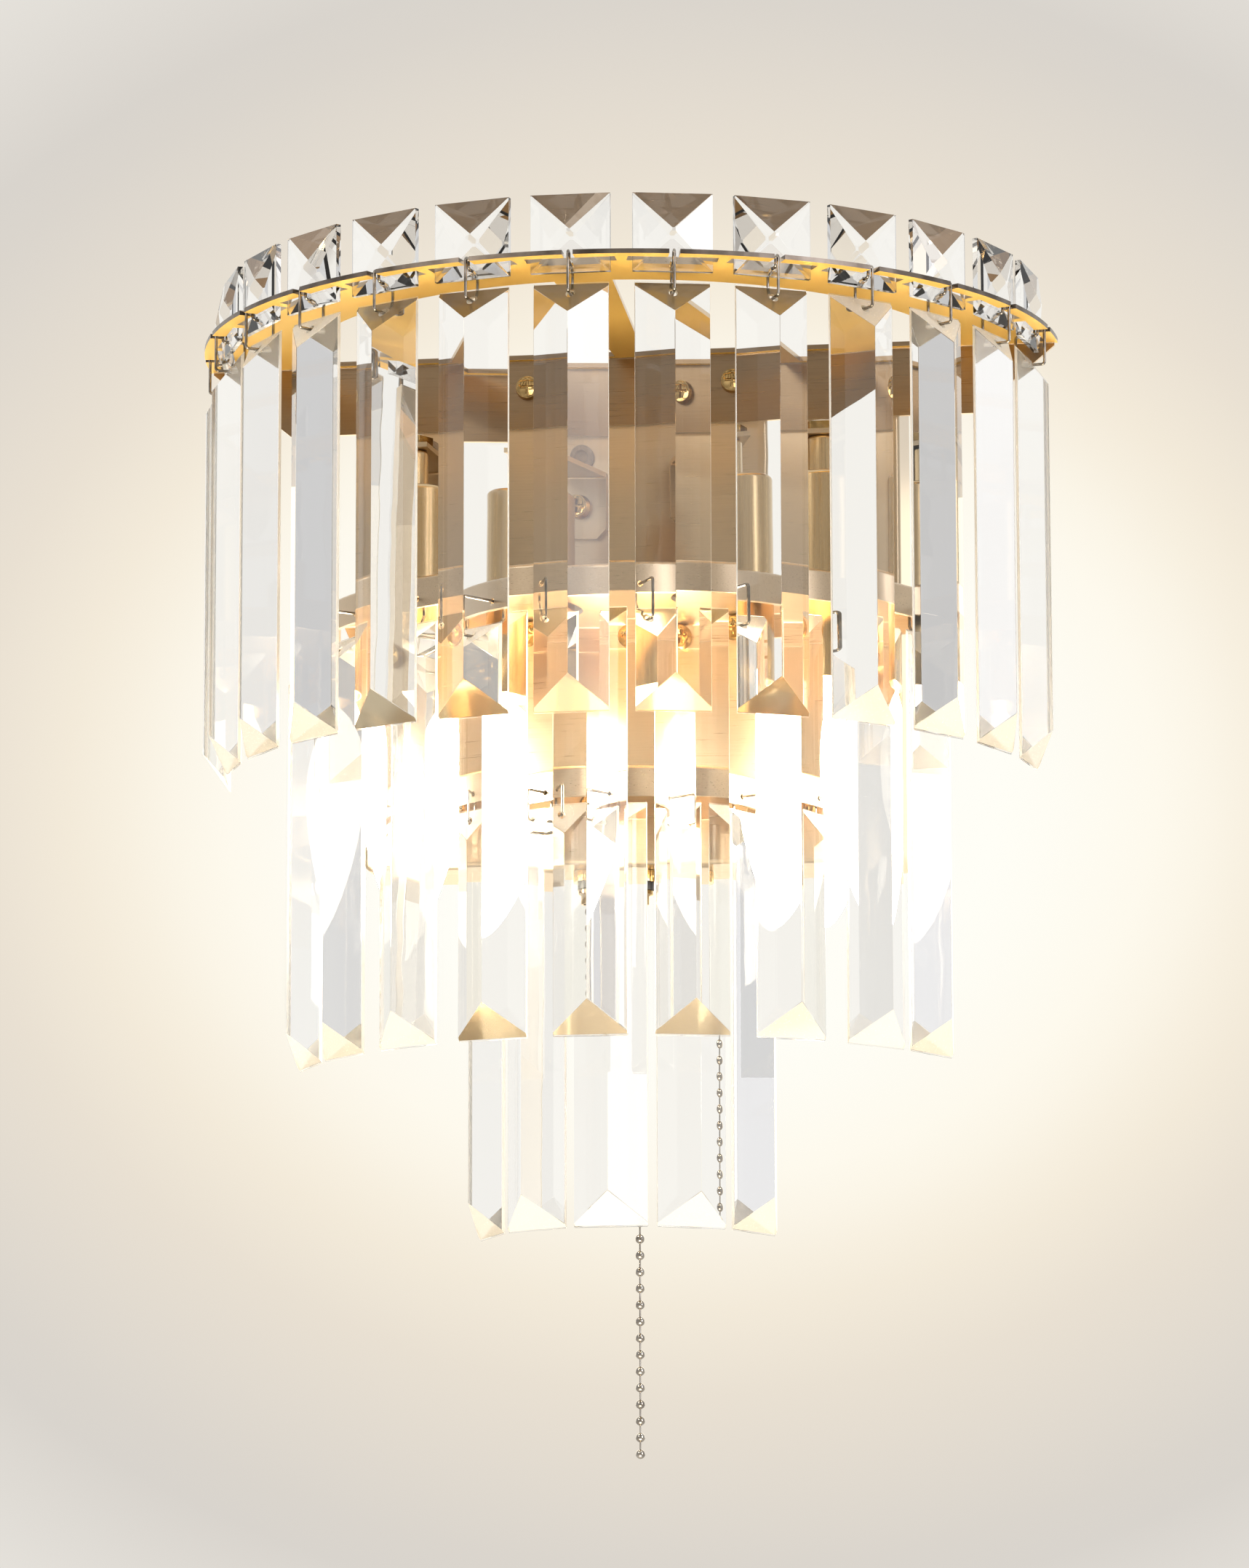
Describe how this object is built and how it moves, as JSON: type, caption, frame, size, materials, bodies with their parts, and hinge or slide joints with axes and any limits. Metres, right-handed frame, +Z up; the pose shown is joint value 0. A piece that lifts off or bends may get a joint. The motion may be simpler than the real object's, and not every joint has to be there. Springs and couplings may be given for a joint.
{
  "type": "crystal wall sconce",
  "caption": "Tiered half-round wall sconce of brushed brass plates hung with bevelled crystal prisms, with square crystals round the top rim, candle lamps and a pull-chain switch.",
  "frame": {"origin": "on the wall face, at the middle of the wall bracket and its fixing holes", "axes": "+Z up, the wall is the plane Y = 0 and the light stands out towards -Y, +X to the right as seen from the room"},
  "size_m": [0.264, 0.159, 0.3576],
  "materials": {
    "crystal": "polished",
    "brushed_brass": "brushed satin",
    "chrome_wire": "bright",
    "bulb_glass": "frosted",
    "cap_metal": "satin",
    "white_moulding": "matt",
    "black_moulding": "matt",
    "zinc_steel": "zinc plated",
    "screw_metal": "bright plated",
    "chain_brass": "bright"
  },
  "bodies": {
    "fitting": {"backplate_pan": "brushed_brass", "bulb_caps": "cap_metal", "bulb_left": "bulb_glass", "bulb_right": "bulb_glass", "lamp_bracket_left": "brushed_brass", "lamp_bracket_right": "brushed_brass", "lamp_bracket_screws": "screw_metal", "lamp_cover_left": "brushed_brass", "lamp_cover_right": "brushed_brass", "lamp_cup_left": "brushed_brass", "lamp_cup_right": "brushed_brass", "lamp_nuts": "brushed_brass", "lampholder_left": "white_moulding", "lampholder_right": "white_moulding", "side_screws": "screw_metal", "square_crystals": "crystal", "switch_body": "black_moulding", "switch_nozzle": "brushed_brass", "switch_ring": "brushed_brass", "terminal_block": "white_moulding", "tier1_plate": "brushed_brass", "tier1_screws": "screw_metal", "tier1_wires": "chrome_wire", "tier2_hooks": "chrome_wire", "tier2_plate": "brushed_brass", "tier2_screws": "screw_metal", "tier3_hooks": "chrome_wire", "tier3_plate": "brushed_brass", "tier3_screws": "screw_metal", "wall_bracket": "zinc_steel"},
    "tier1_prism_01": {"tier1_prism_01": "crystal"},
    "tier1_prism_02": {"tier1_prism_02": "crystal"},
    "tier1_prism_03": {"tier1_prism_03": "crystal"},
    "tier1_prism_04": {"tier1_prism_04": "crystal"},
    "tier1_prism_05": {"tier1_prism_05": "crystal"},
    "tier1_prism_06": {"tier1_prism_06": "crystal"},
    "tier1_prism_07": {"tier1_prism_07": "crystal"},
    "tier1_prism_08": {"tier1_prism_08": "crystal"},
    "tier1_prism_09": {"tier1_prism_09": "crystal"},
    "tier1_prism_10": {"tier1_prism_10": "crystal"},
    "tier1_prism_11": {"tier1_prism_11": "crystal"},
    "tier1_prism_12": {"tier1_prism_12": "crystal"},
    "tier1_prism_13": {"tier1_prism_13": "crystal"},
    "tier2_prism_01": {"tier2_prism_01": "crystal"},
    "tier2_prism_02": {"tier2_prism_02": "crystal"},
    "tier2_prism_03": {"tier2_prism_03": "crystal"},
    "tier2_prism_04": {"tier2_prism_04": "crystal"},
    "tier2_prism_05": {"tier2_prism_05": "crystal"},
    "tier2_prism_06": {"tier2_prism_06": "crystal"},
    "tier2_prism_07": {"tier2_prism_07": "crystal"},
    "tier2_prism_08": {"tier2_prism_08": "crystal"},
    "tier2_prism_09": {"tier2_prism_09": "crystal"},
    "tier3_prism_01": {"tier3_prism_01": "crystal"},
    "tier3_prism_02": {"tier3_prism_02": "crystal"},
    "tier3_prism_03": {"tier3_prism_03": "crystal"},
    "tier3_prism_04": {"tier3_prism_04": "crystal"},
    "tier3_prism_05": {"tier3_prism_05": "crystal"},
    "pull_switch": {"switch_actuator": "brushed_brass", "pull_chain": "chain_brass"}
  },
  "joints": [
    {"name": "tier1_prism_01_swing", "type": "hinge", "parent": "fitting", "child": "tier1_prism_01", "pos_m": [-0.1243, -0.04535, 0.0696], "axis": [-0.1461, 0.9893, 0], "range_deg": [-2, 12]},
    {"name": "tier1_prism_02_swing", "type": "hinge", "parent": "fitting", "child": "tier1_prism_02", "pos_m": [-0.1165, -0.07407, 0.0696], "axis": [-0.3746, 0.9272, 0], "range_deg": [-2, 12]},
    {"name": "tier1_prism_03_swing", "type": "hinge", "parent": "fitting", "child": "tier1_prism_03", "pos_m": [-0.10217, -0.10014, 0.0696], "axis": [-0.5821, 0.8131, 0], "range_deg": [-2, 12]},
    {"name": "tier1_prism_04_swing", "type": "hinge", "parent": "fitting", "child": "tier1_prism_04", "pos_m": [-0.0821, -0.12212, 0.0696], "axis": [-0.757, 0.6534, 0], "range_deg": [-2, 12]},
    {"name": "tier1_prism_05_swing", "type": "hinge", "parent": "fitting", "child": "tier1_prism_05", "pos_m": [-0.05743, -0.13875, 0.0696], "axis": [-0.8894, 0.4571, 0], "range_deg": [-2, 12]},
    {"name": "tier1_prism_06_swing", "type": "hinge", "parent": "fitting", "child": "tier1_prism_06", "pos_m": [-0.02955, -0.14913, 0.0696], "axis": [-0.972, 0.2351, 0], "range_deg": [-2, 12]},
    {"name": "tier1_prism_07_swing", "type": "hinge", "parent": "fitting", "child": "tier1_prism_07", "pos_m": [0, -0.15265, 0.0696], "axis": [-1, 0, 0], "range_deg": [-2, 12]},
    {"name": "tier1_prism_08_swing", "type": "hinge", "parent": "fitting", "child": "tier1_prism_08", "pos_m": [0.02955, -0.14913, 0.0696], "axis": [-0.972, -0.2351, 0], "range_deg": [-2, 12]},
    {"name": "tier1_prism_09_swing", "type": "hinge", "parent": "fitting", "child": "tier1_prism_09", "pos_m": [0.05743, -0.13875, 0.0696], "axis": [-0.8894, -0.4571, 0], "range_deg": [-2, 12]},
    {"name": "tier1_prism_10_swing", "type": "hinge", "parent": "fitting", "child": "tier1_prism_10", "pos_m": [0.0821, -0.12212, 0.0696], "axis": [-0.757, -0.6534, 0], "range_deg": [-2, 12]},
    {"name": "tier1_prism_11_swing", "type": "hinge", "parent": "fitting", "child": "tier1_prism_11", "pos_m": [0.10217, -0.10014, 0.0696], "axis": [-0.5821, -0.8131, 0], "range_deg": [-2, 12]},
    {"name": "tier1_prism_12_swing", "type": "hinge", "parent": "fitting", "child": "tier1_prism_12", "pos_m": [0.1165, -0.07407, 0.0696], "axis": [-0.3746, -0.9272, 0], "range_deg": [-2, 12]},
    {"name": "tier1_prism_13_swing", "type": "hinge", "parent": "fitting", "child": "tier1_prism_13", "pos_m": [0.1243, -0.04535, 0.0696], "axis": [-0.1461, -0.9893, 0], "range_deg": [-2, 12]},
    {"name": "tier2_prism_01_swing", "type": "hinge", "parent": "fitting", "child": "tier2_prism_01", "pos_m": [-0.09514, -0.05959, -0.0194], "axis": [-0.4695, 0.8829, 0], "range_deg": [-1.5, 10]},
    {"name": "tier2_prism_02_swing", "type": "hinge", "parent": "fitting", "child": "tier2_prism_02", "pos_m": [-0.0807, -0.0804, -0.0194], "axis": [-0.6626, 0.749, 0], "range_deg": [-1.5, 10]},
    {"name": "tier2_prism_03_swing", "type": "hinge", "parent": "fitting", "child": "tier2_prism_03", "pos_m": [-0.05758, -0.10008, -0.0194], "axis": [-0.8453, 0.5344, 0], "range_deg": [-1.5, 10]},
    {"name": "tier2_prism_04_swing", "type": "hinge", "parent": "fitting", "child": "tier2_prism_04", "pos_m": [-0.02988, -0.11252, -0.0194], "axis": [-0.9608, 0.2773, 0], "range_deg": [-1.5, 10]},
    {"name": "tier2_prism_05_swing", "type": "hinge", "parent": "fitting", "child": "tier2_prism_05", "pos_m": [0, -0.11675, -0.0194], "axis": [-1, 0, 0], "range_deg": [-1.5, 10]},
    {"name": "tier2_prism_06_swing", "type": "hinge", "parent": "fitting", "child": "tier2_prism_06", "pos_m": [0.02988, -0.11252, -0.0194], "axis": [-0.9608, -0.2773, 0], "range_deg": [-1.5, 10]},
    {"name": "tier2_prism_07_swing", "type": "hinge", "parent": "fitting", "child": "tier2_prism_07", "pos_m": [0.05758, -0.10008, -0.0194], "axis": [-0.8453, -0.5344, 0], "range_deg": [-1.5, 10]},
    {"name": "tier2_prism_08_swing", "type": "hinge", "parent": "fitting", "child": "tier2_prism_08", "pos_m": [0.0807, -0.0804, -0.0194], "axis": [-0.6626, -0.749, 0], "range_deg": [-1.5, 10]},
    {"name": "tier2_prism_09_swing", "type": "hinge", "parent": "fitting", "child": "tier2_prism_09", "pos_m": [0.09514, -0.05959, -0.0194], "axis": [-0.4695, -0.8829, 0], "range_deg": [-1.5, 10]},
    {"name": "tier3_prism_01_swing", "type": "hinge", "parent": "fitting", "child": "tier3_prism_01", "pos_m": [-0.04093, -0.05176, -0.0708], "axis": [-0.4695, 0.8829, 0], "range_deg": [-0.5, 6]},
    {"name": "tier3_prism_02_swing", "type": "hinge", "parent": "fitting", "child": "tier3_prism_02", "pos_m": [-0.02387, -0.06973, -0.0708], "axis": [-0.8572, 0.515, 0], "range_deg": [-0.5, 6]},
    {"name": "tier3_prism_03_swing", "type": "hinge", "parent": "fitting", "child": "tier3_prism_03", "pos_m": [0, -0.07635, -0.0708], "axis": [-1, 0, 0], "range_deg": [-0.5, 6]},
    {"name": "tier3_prism_04_swing", "type": "hinge", "parent": "fitting", "child": "tier3_prism_04", "pos_m": [0.02387, -0.06973, -0.0708], "axis": [-0.8572, -0.515, 0], "range_deg": [-0.5, 6]},
    {"name": "tier3_prism_05_swing", "type": "hinge", "parent": "fitting", "child": "tier3_prism_05", "pos_m": [0.04093, -0.05176, -0.0708], "axis": [-0.4695, -0.8829, 0], "range_deg": [-0.5, 6]},
    {"name": "pull_switch_slide", "type": "slide", "parent": "fitting", "child": "pull_switch", "axis": [0, 0, -1], "range_m": [0, 0.006], "stiffness_N_per_m": 400}
  ]
}
